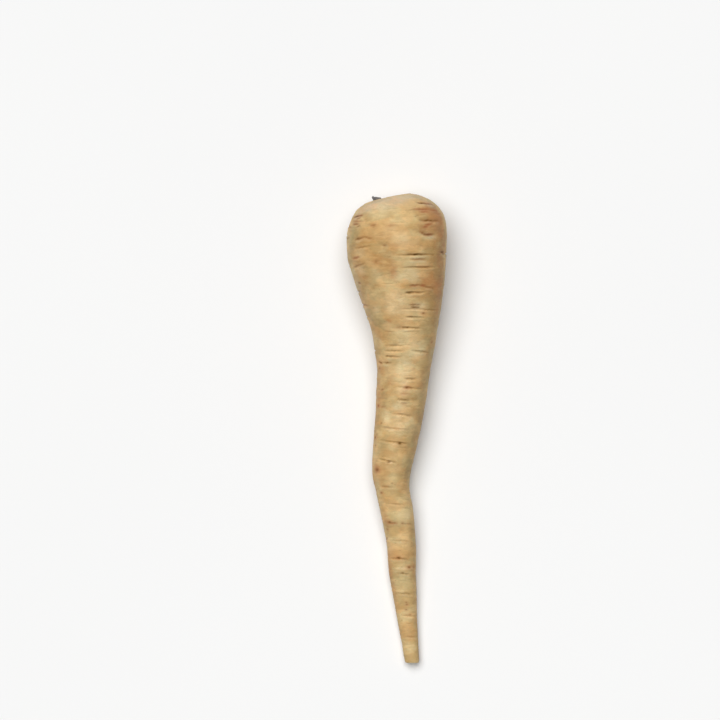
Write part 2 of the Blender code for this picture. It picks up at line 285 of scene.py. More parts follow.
# Tan marks in the skin. The tall, narrow strips along both flanks are painted shade, darkening the
# sides that turn away from the light.
TAN_AND_FLANK_SHADE = [
    # These three: painted shade down the left flank, over tan skin.
    (34.0, -22.5, 20.0, 7.5, 0.6),
    (68.0, -13.0, 13.0, 6.0, 0.45),
    (102.0, -9.5, 18.0, 3.6, 0.35),
    (19.0, 5.5, 2.5, 6.0, 0.55),
    (15.4, -10.5, 2.4, 5.5, 0.45),
    (24.5, -8.0, 3.0, 4.5, 0.5),
    (32.5, -3.5, 2.0, 3.5, 0.5),
    (32.5, 7.5, 1.5, 3.0, 0.4),
    (29.0, -14.5, 4.0, 4.5, 0.8),
    (33.5, 1.0, 2.5, 4.0, 0.5),
    (36.0, -9.3, 9.5, 5.5, 1.0),
    # Painted shade on the right flank.
    (38.0, 23.0, 4.0, 3.0, 0.6),
    (50.5, -12.5, 2.5, 3.0, 0.5),
    (50.5, 4.0, 2.0, 4.0, 0.8),
    (48.5, 12.5, 4.0, 3.5, 0.8),
    (60.5, 4.5, 2.5, 4.5, 0.6),
    (17.5, 14.0, 4.5, 9.0, 0.7),
    (24.2, 7.5, 2.0, 3.0, 0.35),
    (29.0, -3.0, 2.0, 3.0, 0.4),
    (50.5, 12.5, 2.0, 3.5, 0.4),
    (86.3, 12.5, 1.6, 3.5, 0.5),
    (24.5, -21.5, 3.0, 5.0, 0.4),
    # Painted shade on the right flank.
    (48.0, 19.0, 5.0, 5.0, 0.7),
    (72.5, -1.5, 2.4, 4.0, 0.35),
    (103.4, 8.0, 2.5, 3.0, 0.5),
    (121.5, -2.5, 2.5, 3.0, 0.4),
    (71.5, 10.0, 3.0, 6.0, 0.6),
    (91.0, 0.0, 6.0, 5.0, 0.3),
    (107.5, -7.0, 4.5, 4.5, 0.7),
    (112.0, 7.0, 2.5, 3.5, 0.8),
    (121.0, 2.0, 2.5, 3.5, 0.6),
    (67.5, -5.0, 4.0, 5.0, 0.6),
    (54.0, 8.0, 4.0, 6.0, 0.5),
    # From here to the end of the list: painted shade down the right flank, over tan skin.
    (26.0, 21.0, 20.0, 7.5, 1.0),
    (58.0, 19.0, 16.0, 6.0, 0.85),
    (88.0, 16.0, 20.0, 4.5, 0.45),
    (132.0, 9.0, 24.0, 3.6, 0.4),
    (156.0, 1.5, 11.0, 4.0, 0.6),
    (206.0, 7.0, 22.0, 2.6, 0.5),
]
OLIVE = [
    (8.8, -17.5, 3.5, 4.5, 0.5),
    (11.0, 4.5, 3.0, 5.0, 0.35),
    (22.0, -24.5, 6.0, 4.5, 0.9),
    (29.5, -27.0, 5.0, 4.0, 0.5),
    (64.5, -17.0, 5.0, 4.0, 0.5),
    (77.0, 8.0, 3.0, 4.0, 0.45),
    (72.0, -10.2, 4.5, 4.0, 0.5),
    (78.0, 15.5, 7.0, 4.0, 0.4),
    (99.0, 13.5, 4.0, 3.0, 0.3),
    (116.0, 11.6, 9.0, 3.6, 0.55),
    (110.5, -8.4, 5.5, 2.2, 0.4),
    (108.0, -3.0, 2.0, 2.5, 0.4),
    (125.5, -2.5, 2.5, 3.0, 0.8),
    (134.0, 0.5, 2.4, 4.5, 0.5),
    (147.5, -2.5, 3.0, 3.0, 0.6),
    (131.5, 8.6, 9.0, 3.6, 0.25),
    (142.0, -10.8, 4.5, 2.6, 0.45),
    (145.0, 5.6, 8.5, 3.4, 0.55),
    (178.0, -2.8, 5.5, 2.6, 0.45),
    (188.0, 7.2, 11.0, 2.4, 0.5),
    (212.5, 1.5, 5.5, 5.0, 0.5),
]
PALE = [
    (6.5, -9.0, 3.0, 5.0, 0.5),
    (11.0, -12.5, 3.0, 7.0, 0.5),
    (24.5, 1.0, 3.5, 4.5, 0.5),
    (24.0, 17.0, 1.3, 4.0, 0.75),
    (33.0, -22.0, 2.5, 4.0, 0.45),
    (42.2, -21.5, 2.2, 4.0, 0.5),
    (44.0, -13.0, 3.5, 3.0, 0.4),
    (42.0, -25.0, 3.5, 3.0, 0.35),
    (62.5, -18.5, 4.0, 3.0, 0.35),
    (140.5, -13.2, 5.0, 3.4, 0.25),
    (156.0, -13.2, 6.0, 3.4, 0.2),
    (125.5, -8.0, 2.5, 2.5, 0.4),
    (34.7, 10.4, 0.9, 5.4, 0.6),
    (38.0, 10.4, 1.6, 6.0, 0.6),
    (44.6, 6.0, 3.4, 6.0, 0.75),
    (46.0, -0.5, 2.5, 4.0, 0.4),
    (58.5, -2.5, 5.0, 6.0, 0.9),
    (62.0, 9.0, 2.5, 4.0, 0.4),
    (64.5, -5.0, 2.4, 4.5, 0.6),
    (63.8, -13.0, 2.6, 3.0, 0.5),
    (62.5, 12.5, 3.5, 3.5, 0.5),
    (64.5, 2.5, 1.6, 3.0, 0.5),
    (72.5, -7.0, 2.4, 3.0, 0.35),
    (68.6, 4.9, 0.7, 1.9, 0.7),
    (79.0, 2.8, 4.6, 6.5, 0.5),
    (88.0, 7.0, 1.6, 5.0, 0.4),
    (86.0, 10.0, 6.0, 5.0, 0.75),
    (88.0, 17.5, 5.0, 3.0, 0.3),
    (96.0, 2.0, 5.6, 4.6, 0.9),
    (106.5, 2.0, 4.0, 3.0, 0.6),
    (117.0, -0.5, 2.2, 5.0, 0.6),
    (121.5, -8.0, 3.0, 3.0, 0.6),
    (126.0, 1.0, 6.0, 7.0, 0.7),
    (129.9, -5.6, 0.8, 2.9, 0.45),
    (138.8, -3.5, 2.0, 3.0, 0.35),
    (147.7, -5.0, 0.5, 1.0, 0.9),
    (176.5, 2.2, 3.0, 4.6, 0.6),
    (206.3, 1.8, 0.7, 4.8, 0.7),
]
# Greyish patches, mostly on the crown's shoulder: a greyish tone of the skin, and in part a painted
# sheen where the light glances off the crown.
DULL_AND_SHEEN = [
    (1.6, 6.0, 3.0, 11.0, 0.8),
    (5.5, -9.0, 5.0, 12.0, 1.0),
    (3.2, -6.0, 3.0, 7.0, 1.0),
    (8.0, -17.5, 3.0, 5.0, 0.8),
    (11.0, -22.5, 3.0, 3.5, 0.8),
    (5.2, 15.6, 2.4, 3.0, 0.7),
    (52.0, -23.5, 5.0, 3.0, 0.5),
]
BLOTCHES = {"warm_and_flank_shade": WARM_AND_FLANK_SHADE, "tan": TAN_AND_FLANK_SHADE, "olive": OLIVE, "pale": PALE, "dull_and_sheen": DULL_AND_SHEEN}
RANDOM_BLOTCHES = 16  # of each colour, on the sides and the underside

# The trimmed stalk bases, the same as in their solid.
OUTER_STUBS = 5
INNER_STUBS = 4
OUTER_STUB = (6.4, 2.7, 0.8)  # distance from the middle, half width, how far it splays outwards
INNER_STUB = (3.9, 1.6, 0.5)
FIRST_STUB = (4.7, 2.1, 1.05, 3.3)  # the tallest: half width, top, slant of its cut, splay
FIRST_STUB_ANGLE = 150.0
GOLDEN_ANGLE = 137.5
STUB_THICKNESS = 1.5
STUB_ROOT = -5.0
STUB_LEVELS = 9

# The disc that they grow from: (height, radius) from its foot up. It stands clear of the seat, and
# flares out where it has grown together with the bowl.
PLUG = [(SEAT_FLOOR + 0.3, 8.3), (SEAT_MOUTH - 0.4, 8.4), (-3.5, 9.1), (-3.0, 8.2)]
PLUG_SIDES = 64
BUD_RADIUS = 2.3
BUD_MIDDLE = -4.2
BUD_TOP = -0.9
STUB_VOXEL = 0.22

# Colours as a screen shows them, from 0 to 255.
SKIN_DEEP = (196, 162, 111)
SKIN_LIGHT = (214, 184, 134)
PORE = (134, 98, 62)
CREASE = (102, 68, 8)
HOLLOW = (112, 84, 52)
CUT_EDGE = (214, 190, 138)  # the trimmed tip's face, outside and in its core
CUT_CORE = (232, 214, 172)
STALK_DEEP = (132, 104, 74)
STALK_LIGHT = (156, 132, 102)
STALK_TOP = (124, 124, 127)
STALK_CUT = (150, 138, 112)
FLOOR_DEEP = (236, 237, 239)
FLOOR_LIGHT = (240, 241, 242)

# What the marks on the skin turn it to, one over another: (mark, strength, colour).
SKIN_LAYERS = [
    # Tan skin, and painted shade on both flanks.
    ("tan", 0.8, (180, 141, 88)),
    ("olive", 0.75, (164, 146, 102)),
    # Reddish brown skin, and painted shade on the right flank.
    ("warm_and_flank_shade", 0.75, (180, 128, 82)),
    # Greyish skin, and a painted sheen on the crown's shoulder.
    ("dull_and_sheen", 0.8, (204, 180, 150)),
    # Paler skin, and the painted highlights on the creases' lower lips.
    ("pale", 0.9, (224, 200, 156)),
    ("red", 0.68, (166, 92, 58)),
]

# Faint tints that the skin's colour is multiplied by, in the shader's own measure.
WARM_TINT = (1.04, 0.98, 0.90, 1.0)
COOL_TINT = (0.95, 1.0, 0.98, 1.0)

FLOOR_HALF = 3.0  # in metres

# The camera looks straight down. Its frame is this wide, and its middle lies this far from the
# crown's top and from the line x = 0.
FRAME_WIDTH = 396.0
VIEW_DOWN = 91.3
VIEW_X = -22.0
VIEW_HEIGHT = 6000.0  # above the outline that it sees
OUTLINE_HEIGHT = 27.0  # of the crown's widest part above the floor
NEAREST_SEEN = 0.01  # in metres

# One large, far light, and the room round it.
KEY_FROM = (-0.14, 0.28, 1.0)
KEY_STRENGTH = 3.35
KEY_SPREAD = math.radians(50.0)
KEY_COLOUR = (1.0, 0.99, 0.97)
ROOM_COLOUR = (0.97, 0.985, 1.0, 1.0)
ROOM_LIGHT = 0.08  # how much the room lights, and how light it looks
ROOM_SHOWN = 0.86


def curve_through(marks, values, at):
    """A smooth curve that has these values at these marks, read at the places `at`. Between two
    marks it stays between their values."""
    rates = np.diff(values, axis=0) / np.diff(marks)[:, None]
    before, after = rates[:-1], rates[1:]
    onward = before * after > 0.0
    slopes = np.concatenate([rates[:1], rates])
    slopes[1:-1] = np.where(onward, 2.0 * before * after / np.where(onward, before + after, 1.0), 0.0)
    i = np.clip(np.searchsorted(marks, at, side="right") - 1, 0, len(marks) - 2)
    step = (marks[i + 1] - marks[i])[:, None]
    t = (at - marks[i])[:, None] / step
    return (
        (2 * t**3 - 3 * t**2 + 1) * values[i]
        + (t**3 - 2 * t**2 + t) * step * slopes[i]
        + (3 * t**2 - 2 * t**3) * values[i + 1]
        + (t**3 - t**2) * step * slopes[i + 1]
    )


def smooth_step(x):
    """0 below 0, 1 above 1, and an even S between."""
    x = np.clip(x, 0.0, 1.0)
    return x * x * (3.0 - 2.0 * x)


def noise_at(points, period):
    """Smooth noise from about -1 to 1 at each point. `period` is the size of its lumps, in mm,
    along x, along the root and upwards."""
    scaled = points / np.array(period)
    return np.array([noise.noise(Vector(p)) for p in scaled.reshape(-1, 3)]).reshape(points.shape[:-1])


class Skin:
    """The root's skin as a grid of points: a row is a ring round the root, from the middle of
    the seat in the crown to the middle of the trimmed tip."""

    def __init__(self):
        self.angles = np.arange(SEGMENTS) * (2 * np.pi / SEGMENTS)
        self.lay_rings()
        self.even = self.points()
        self.normals = self.grid_normals(self.even)
        shape = self.even.shape[:2]
        self.raised = np.zeros(shape)
        self.masks = {name: np.zeros(shape) for name in ("crease", "red", *BLOTCHES)}

    def lay_rings(self):
        """Sets each ring's down, middle, radius and underside, its place on the skin (`at`), and
        how much of the crown's lean it has."""
        rim_down, middle, rim_radius, rim_under = RIM
        axis_height = rim_under + rim_radius

        def crown_station(height, radius):
            return (rim_down - height, middle, radius, axis_height - radius)

        bowl = [crown_station(*b) for b in BOWL]
        outline = np.array(bowl + [RIM] + BODY + [TIP_EDGE])
        marks = np.concatenate([[0.0], np.cumsum(np.hypot(*np.diff(outline[:, ::2], axis=0).T))])
        self.at_rim = marks[len(bowl)]
        self.skin_at = np.linspace(0.0, marks[-1], int(marks[-1] / RING_STEP) + 1)
        skin = curve_through(marks, outline, self.skin_at)

        wall = np.linspace(SEAT_FLOOR, SEAT_MOUTH, SEAT_WALL_STEPS)
        seat = [crown_station(SEAT_FLOOR, r) for r in SEAT_RADII]
        seat += [crown_station(h, SEAT_RADIUS) for h in wall]
        down, middle, radius, under = TIP_EDGE
        cut = [(down, middle, r, under + radius - r) for r in TIP_CUT_RADII]
        rows = np.concatenate([seat, skin, cut])
        self.first, self.last = len(seat), len(seat) + len(skin)
        self.down, self.middle, self.radius, self.under = rows.T
        self.at = np.concatenate(
            [np.full(len(seat), -1.0), self.skin_at, np.full(len(cut), self.skin_at[-1] + 1.0)]
        )
        self.lean = np.where(self.at <= self.at_rim, 1.0, np.exp((rim_down - self.down) / LEAN_FADE))

    def points(self):
        """The even surface, with no crease or bump: an array of rings of points."""
        turn = np.radians(self.down * 1.1)[:, None]
        a = self.angles[None, :]
        lumps = 0.55 * np.cos(2 * a + turn) + 0.45 * np.cos(3 * a - 1.7 * turn + 0.8)
        lumpy = LUMPS * smooth_step((self.at - self.at_rim) / 6.0)[:, None]
        reach = self.radius[:, None] * (1.0 + lumpy * lumps * np.sin(a) ** 2)
        right, near = reach * np.cos(a), reach * np.sin(a)
        lift = self.under - near.min(axis=1)
        shift = self.lean[:, None] * (math.tan(LEAN) * right + math.tan(NOD) * near)
        down = self.down[:, None] - shift
        return np.stack([self.middle[:, None] + right, -down, near + lift[:, None]], axis=-1)

    @staticmethod
    def grid_normals(points):
        """The outward direction at each point of the grid."""
        along = np.gradient(points, axis=0)
        around = np.roll(points, -1, axis=1) - np.roll(points, 1, axis=1)
        normals = np.cross(around, along)
        return normals / np.maximum(np.linalg.norm(normals, axis=-1, keepdims=True), 1e-9)

    def seen_at(self, down, x):
        """(place on the skin, angle) of the point seen from above at this distance down and x."""
        guess = down
        outer = slice(np.searchsorted(self.skin_at, self.at_rim) + self.first, self.last)
        rows = self.down[outer]
        for _ in range(SETTLING_STEPS):
            radius = np.interp(guess, rows, self.radius[outer])
            limit = NEAR_OUTLINE * radius
            right = np.clip(x - np.interp(guess, rows, self.middle[outer]), -limit, limit)
            near = math.sqrt(radius**2 - right**2)
            lean = math.exp((RIM[0] - guess) / LEAN_FADE)
            guess = down + lean * (math.tan(LEAN) * right + math.tan(NOD) * near)
        return np.interp(guess, rows, self.at[outer]), math.acos(right / radius)

    def place_of(self, down):
        """The place on the skin of the ring whose middle is this far down."""
        below = slice(self.first + CROWN_RINGS, self.last)
        return np.interp(down, self.down[below], self.at[below])

    def window(self, low, high):
        """The rows whose place on the skin is between these two."""
        first, last = np.searchsorted(self.skin_at, (low, high))
        return slice(self.first + first, self.first + last)

    def turned(self, angle):
        """Each column's angle from `angle`, from -pi to pi."""
        return (self.angles - angle + np.pi) % (2 * np.pi) - np.pi

    def add_crease(self, start, end, depth, dark, red, width=None, phase=0.0):
        """Presses a crease in the skin from its left end to its right end, each (place on the skin,
        angle), and marks its colour, with a painted highlight on its lower lip."""
        (at_a, angle_a), (at_b, angle_b) = start, end
        width = width or THIN_CREASE + DARK_CREASE * dark
        half = max((angle_a - angle_b) / 2, 1e-3)
        across = -self.turned((angle_a + angle_b) / 2) / half
        columns = np.where(np.abs(across) < 1.0)[0]
        rows = self.window(min(at_a, at_b) - CREASE_REACH, max(at_a, at_b) + CREASE_REACH)
        if not len(columns):
            return
        t = across[columns]
        waver = np.array([noise.noise(Vector((2.1 * k, phase, at_a))) for k in t * half * 9.0])
        path = at_a + (at_b - at_a) * (t + 1) / 2 + CREASE_WAVER * waver
        ends = (1.0 - t**2) ** 0.7
        off = self.at[rows][:, None] - path[None, :]
        groove = np.exp(-((off / width) ** 2))
        lips = np.exp(-((off - 2.4 * width) / (1.9 * width)) ** 2)
        lips += 0.5 * np.exp(-((off + 2.2 * width) / (1.7 * width)) ** 2)
        patchy = 0.7 + 0.55 * np.array([noise.noise(Vector((7.7, phase, k))) for k in t * half * 16.0])
        block = (rows, columns)
        self.raised[block] += depth * ends * (CREASE_LIP * lips - groove)
        line = 1.08 * dark * ends * np.clip(patchy, 0.15, 1.2) * np.exp(-np.abs(off / width) ** 3)
        self.masks["crease"][block] = np.maximum(self.masks["crease"][block], line)
        glow = red * ends * np.exp(-((off / (2.1 * width)) ** 2))
        self.masks["red"][block] = np.maximum(self.masks["red"][block], glow)
        # A painted highlight along the crease's lower lip, which faces the light, put into the pale
        # mark.
        lip_highlight = 0.6 * dark * ends * np.exp(-(((off - 2.6 * width) / (1.3 * width)) ** 2))
        self.masks["pale"][block] = np.maximum(self.masks["pale"][block], lip_highlight)

    def add_blotch(self, mask, at, angle, half_height, half_width, strength):
        """A soft, uneven blotch of colour."""
        rows = self.window(at - 2.5 * half_height, at + 2.5 * half_height)
        up = (self.at[rows][:, None] - at) / half_height
        side = self.turned(angle)[None, :] * self.radius[rows][:, None] / half_width
        self.masks[mask][rows] += strength * np.exp(-((up**2 + side**2) ** 1.4) * 0.8)

    def add_spot(self, at, angle, radius, dark, red):
        """A small dark dent."""
        rows = self.window(at - 4.0 * radius, at + 4.0 * radius)
        up = (self.at[rows][:, None] - at) / radius
        side = self.turned(angle)[None, :] * self.radius[rows][:, None] / (1.5 * radius)
        dent = np.exp(-(up**2 + side**2))
        self.raised[rows] -= 0.35 * radius * dent
        self.masks["crease"][rows] = np.maximum(self.masks["crease"][rows], dark * dent)
        halo = np.exp(-(up**2 + side**2) / 5.0)
        self.masks["red"][rows] = np.maximum(self.masks["red"][rows], red * halo)


def crease_the_front(skin):
    """The creases that show from above."""
    lower, further = EDGE_TO_MIDDLE
    for k, (down, left, right, drop, depth, dark, red) in enumerate(CREASES):
        start = skin.seen_at(down + lower, left + further)
        end = skin.seen_at(down + lower + drop, right + further)
        skin.add_crease(start, end, depth, dark, red, phase=1.7 * k)


def crease_the_hidden_sides(skin):
    """Creases on the sides and the underside, by the same draws as in the solid."""
    rng = random.Random(SEED)
    for k, (down, depth) in enumerate(HIDDEN_BANDS):
        for line in HIDDEN_LINES:
            if rng.random() < HIDDEN_SHARE:
                middle = math.radians(line + rng.uniform(-14.0, 14.0))
                half = 0.85 * math.radians(rng.uniform(16.0, 34.0))
                pressed = depth * rng.uniform(0.6, 1.0)
                at = skin.place_of(down)
                tilt = 0.8 * math.sin(5.1 * k + line)
                start, end = (at - tilt, middle + half), (at + tilt, middle - half)
                skin.add_crease(start, end, pressed, 0.9 * pressed, abs(tilt), phase=2.3 * k + line)


def wrinkle_the_skin(skin, rng):
    """Many fine short wrinkles all round, thickest near the lines of creases, and fainter towards
    the tip."""
    for k in range(WRINKLES):
        down = rng.uniform(6.0, 254.0)
        line = rng.choice((FRONT_LINE, *HIDDEN_LINES)) + 22.0 * math.sin(down / 40.0)
        middle = math.radians(line + rng.gauss(0.0, 26.0))
        at = skin.place_of(down)
        radius = float(np.interp(at, skin.skin_at, skin.radius[skin.first:skin.last]))
        half = rng.uniform(1.2, 4.5) / radius
        tilt = rng.gauss(0.0, 0.25)
        depth = rng.uniform(0.05, 0.2)
        dark = rng.uniform(0.0, 0.4) * (1.1 - down / 380.0)
        start, end = (at - tilt, middle + half), (at + tilt, middle - half)
        skin.add_crease(start, end, depth, dark, 0.0, width=WRINKLE_WIDTH, phase=0.37 * k)


def spot_the_skin(skin, rng):
    """The pores and root scars that show from above, and scattered ones all round."""
    lower, further = EDGE_TO_MIDDLE
    for down, x, radius, dark, red in SPOTS:
        skin.add_spot(*skin.seen_at(down + lower, x + further), radius, dark, red)
    for _ in range(RANDOM_SPOTS):
        at, angle = skin.place_of(rng.uniform(10.0, 250.0)), rng.uniform(0.0, 2 * math.pi)
        skin.add_spot(at, angle, rng.uniform(0.25, 0.5), rng.uniform(0.2, 0.6), rng.uniform(0.0, 0.7))


def blotch_the_skin(skin, rng):
    """The blotches that show from above, and scattered ones on the sides and the underside."""
    for mask, blotches in BLOTCHES.items():
        for down, x, half_height, half_width, strength in blotches:
            skin.add_blotch(mask, *skin.seen_at(down, x), half_height, half_width, strength)
        for _ in range(RANDOM_BLOTCHES):
            down = rng.uniform(15.0, 245.0)
            angle = math.radians(rng.uniform(195.0, 345.0))
            size = rng.uniform(2.0, 6.0) * (1.3 - down / 300.0)
            at = skin.place_of(down)
            half_width = size * rng.uniform(0.8, 2.2)
            skin.add_blotch(mask, at, angle, size, half_width, rng.uniform(0.3, 0.8))


def roughen_the_skin(skin):
    """Uneven swellings, and rings so faint that they only catch the light."""
    rows = slice(skin.first, skin.last)
    points = skin.even[rows]
    outside = smooth_step((skin.skin_at - skin.at_rim) / 4.0)[:, None]
    swell = 0.38 * noise_at(points, (17.0, 13.0, 17.0)) + 0.16 * noise_at(points, (7.0, 4.5, 7.0))
    rings = 0.06 * noise_at(points, (8.0, 1.15, 8.0)) + 0.03 * noise_at(points, (3.0, 0.8, 3.0))
    size = np.clip(skin.radius[rows] / 14.0, 0.45, 1.0)[:, None]
    skin.raised[rows] += outside * size * (swell + rings)
    ragged = 1.0 + 0.5 * noise_at(points, (4.0, 3.0, 4.0)) + 0.35 * noise_at(points, (1.6, 1.0, 1.6))
    for name in BLOTCHES:
        skin.masks[name][rows] *= np.clip(ragged, 0.25, 1.8)


def wrinkle_the_crown(skin):
    """Fine rings round the hollow, where leaves grew before, and the bowl's own unevenness."""
    rows = slice(skin.first, skin.last)
    points = skin.even[rows]
    from_rim = (skin.skin_at - skin.at_rim)[:, None]
    shoulder = np.exp(-((from_rim - 2.5) / 4.5) ** 2)
    around = noise_at(points, (5.0, 5.0, 5.0))
    broken = np.clip(0.5 + 1.6 * noise_at(points + 50.0, (7.0, 4.0, 7.0)), 0.0, 1.3)
    skin.raised[rows] += 0.09 * shoulder * broken * np.sin(from_rim * 4.6 + 3.6 * around)
    bowl = 1.0 - smooth_step((skin.skin_at - skin.at_rim + 0.6) / 1.6)[:, None]
    skin.raised[rows] += 0.3 * bowl * noise_at(points, (2.2, 2.2, 2.2))


def end_masks(skin):
    """Where the crown's hollow is, and how far out the trimmed tip's face a point lies."""
    hollow = np.ones(len(skin.at))
    hollow[skin.first:] = 1.0 - smooth_step((skin.at[skin.first:] - skin.at_rim + 2.2) / 4.0)
    cut = np.zeros(len(skin.at))
    cut[skin.last - 1:] = 1.0
    core = np.ones(len(skin.at))
    core[skin.last:] = np.array(TIP_CUT_RADII) / TIP_EDGE[2]
    return {"hollow": hollow, "cut": cut, "core": core}


def finished_points(skin):
    """The skin's points with everything pressed in and raised, never below the table."""
    around_tip = noise_at(skin.even, (1.5, 1.5, 1.5))
    skin.raised[skin.last:] += 0.12 * around_tip[skin.last:]
    points = skin.even + skin.normals * skin.raised[..., None]
    points[..., 2] = np.maximum(points[..., 2], 0.0)
    return points


def place_over_frame(points, even):
    """From millimetres in the root's own measure to metres in the frame of its solid."""
    low, high = (np.array(c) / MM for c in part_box("parsnip_root"))
    middle = (low + high) / 2
    own = (even.reshape(-1, 3).min(axis=0) + even.reshape(-1, 3).max(axis=0)) / 2
    shift = np.array([middle[0] - own[0], middle[1] - own[1], 0.0])
    return (points + shift) * MM, shift


def grid_mesh(name, points):
    """A closed mesh from rings of points, with a flat cap on the first and on the last."""
    rows, columns = points.shape[:2]
    index = np.arange(rows * columns).reshape(rows, columns)
    beside = np.roll(index, -1, axis=1)
    quads = np.stack([index[:-1], beside[:-1], beside[1:], index[1:]], axis=-1).reshape(-1, 4)
    faces = quads.tolist() + [index[0][::-1].tolist(), index[-1].tolist()]
    mesh = bpy.data.meshes.new(name)
    mesh.from_pydata(points.reshape(-1, 3).tolist(), [], faces)
    mesh.validate()
    return mesh


def add_values(mesh, name, values):
    """Stores one number for each point of the mesh."""
    attribute = mesh.attributes.new(name, "FLOAT", "POINT")
    attribute.data.foreach_set("value", np.asarray(values, np.float32).ravel())


def add_object(name, mesh, material):
    """An object in the scene with this mesh and this one material."""
    obj = bpy.data.objects.new(name, mesh)
    bpy.context.scene.collection.objects.link(obj)
    obj.data.materials.clear()
    obj.data.materials.append(material)
    return obj


def make_root():
    """The root with all its creases. Returns the shift from its own measure."""
    skin = Skin()
    rng = random.Random(SEED + 1)
    crease_the_front(skin)
    crease_the_hidden_sides(skin)
    wrinkle_the_skin(skin, rng)
    spot_the_skin(skin, rng)
    blotch_the_skin(skin, rng)
    roughen_the_skin(skin)
    wrinkle_the_crown(skin)
    points, shift = place_over_frame(finished_points(skin), skin.even)
    mesh = grid_mesh("parsnip_skin_mesh", points)
    for name, values in skin.masks.items():
        add_values(mesh, name, np.clip(values, 0.0, 1.0))
    for name, values in end_masks(skin).items():
        add_values(mesh, name, np.repeat(values, SEGMENTS))
    mesh.shade_smooth()
    mesh.set_sharp_from_angle(angle=SHARP_EDGE)
    root = add_object("root_skin", mesh, skin_material())
    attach(root, "root")
    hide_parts("parsnip_root")
    return shift


def crown_point(right, near, height):
    """A point in or over the crown's hollow, in the rim's own leaning frame."""
    down, middle, radius, under = RIM
    down = down - height - math.tan(LEAN) * right - math.tan(NOD) * near
    return middle + right, -down, under + radius + near


def loft(bm, loops):
    """Adds a closed shape through loops of points, with a cap on its first and last loop."""
    rows = [[bm.verts.new(point) for point in loop] for loop in loops]
    for row, following in zip(rows, rows[1:]):
        for k in range(len(row)):
            nxt = (k + 1) % len(row)
            bm.faces.new((row[k], row[nxt], following[nxt], following[k]))
    bm.faces.new(rows[0][::-1])
    bm.faces.new(rows[-1])


def add_plug(bm):
    """The disc that the stalk bases grow from. It flares out where it meets the bowl."""
    angles = np.arange(PLUG_SIDES) * (2 * np.pi / PLUG_SIDES)
    loft(bm, [[(r * math.cos(a), r * math.sin(a), h) for a in angles] for h, r in PLUG])


def stub_section(reach, half_width, thickness):
    """A leaf stalk's section: a crescent round the crown's middle, thinner towards its ends."""
    steps = 12
    points = []
    for side in (1, -1):
        for k in range(steps + 1):
            share = (2.0 * k / steps - 1.0) * side
            angle = share * half_width / reach
            half_thickness = thickness * (1.0 - 0.7 * share**2) / 2
            points.append((reach * math.cos(angle) + side * half_thickness, reach * math.sin(angle)))
    return points


def add_stub(bm, angle, reach, half_width, top, slant, splay):
    """One stalk base, carried up from inside the disc and splayed outwards."""
    section = stub_section(reach, half_width, STUB_THICKNESS)
    cos_a, sin_a = math.cos(math.radians(angle)), math.sin(math.radians(angle))
    loops = []
    for share in np.linspace(0.0, 1.0, STUB_LEVELS):
        height = STUB_ROOT + (top - STUB_ROOT) * share
        loop = []
        for out, side in section:
            out += splay * share
            rise = slant * share * side / half_width
            loop.append((cos_a * out - sin_a * side, sin_a * out + cos_a * side, height + rise))
        loops.append(loop)
    loft(bm, loops)


def add_bud(bm):
    """The short bud in the crown's middle."""
    bud = bmesh.ops.create_icosphere(bm, subdivisions=4, radius=1.0)
    for v in bud["verts"]:
        half_height = BUD_TOP - BUD_MIDDLE if v.co.z > 0 else BUD_MIDDLE - STUB_ROOT
        v.co = (v.co.x * BUD_RADIUS, v.co.y * BUD_RADIUS, BUD_MIDDLE + half_height * v.co.z)


def stalk_bases_mesh():
    """The disc, the bud and the stalk bases grown together, by the same draws as in the solid."""
    rng = random.Random(SEED)
    bm = bmesh.new()
    add_plug(bm)
    add_bud(bm)
    for k in range(OUTER_STUBS + INNER_STUBS):
        reach, half_width, splay = OUTER_STUB if k < OUTER_STUBS else INNER_STUB
        top, slant = rng.uniform(-1.5, 0.4), rng.uniform(-0.5, 0.5)
        if k == 0:
            half_width, top, slant, splay = FIRST_STUB
        add_stub(bm, FIRST_STUB_ANGLE + GOLDEN_ANGLE * k, reach, half_width, top, slant, splay)
    bmesh.ops.recalc_face_normals(bm, faces=bm.faces)
    mesh = bpy.data.meshes.new("stalk_bases_mesh")
    bm.to_mesh(mesh)
    bm.free()
    return mesh


def fuse(obj, voxel):
    """Makes one closed skin of an object's overlapping shapes, and softens it."""
    remesh = obj.modifiers.new("fuse", "REMESH")
    remesh.mode = "VOXEL"
    remesh.voxel_size = voxel
    soften = obj.modifiers.new("soften", "CORRECTIVE_SMOOTH")
    soften.iterations = 4
    soften.use_only_smooth = True
    evaluated = obj.evaluated_get(bpy.context.evaluated_depsgraph_get())
    fused = bpy.data.meshes.new_from_object(evaluated)
    obj.modifiers.clear()
    obj.data = fused


def make_stalk_bases(shift):
    """The trimmed stalk bases in the crown's hollow, with fibres and torn edges."""
    bases = add_object("stalk_bases", stalk_bases_mesh(), stalk_material())
    fuse(bases, STUB_VOXEL)
    mesh = bases.data
    points = np.empty(len(mesh.vertices) * 3)
    mesh.vertices.foreach_get("co", points)
    points = points.reshape(-1, 3)
    normals = np.array([v.normal for v in mesh.vertices])
    fibres = noise_at(points, (0.8, 0.8, 4.0))
    torn = noise_at(points + 31.0, (0.9, 0.9, 0.9)) * smooth_step((points[:, 2] + 2.0) / 2.5)
    points += normals * (0.14 * fibres)[:, None]
    points[:, 2] += 0.35 * torn
    add_values(mesh, "height", smooth_step((points[:, 2] + 1.6) / 3.4))
    faces_up = smooth_step((normals[:, 2] - 0.6) * 3.0)
    add_values(mesh, "cut", faces_up * smooth_step((points[:, 2] + 2.2) * 2.0))
    placed = (np.array([crown_point(*p) for p in points]) + shift) * MM
    mesh.vertices.foreach_set("co", placed.ravel())
    mesh.shade_smooth()
    mesh.update()
    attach(bases, "root")
    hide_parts("leaf_stalk_bases")


def linear(colour):
    """A colour as a screen shows it, from 0 to 255, in the shader's own measure."""
    shares = (c / 255 for c in colour)
    return (*(s / 12.92 if s <= 0.04045 else ((s + 0.055) / 1.055) ** 2.4 for s in shares), 1.0)


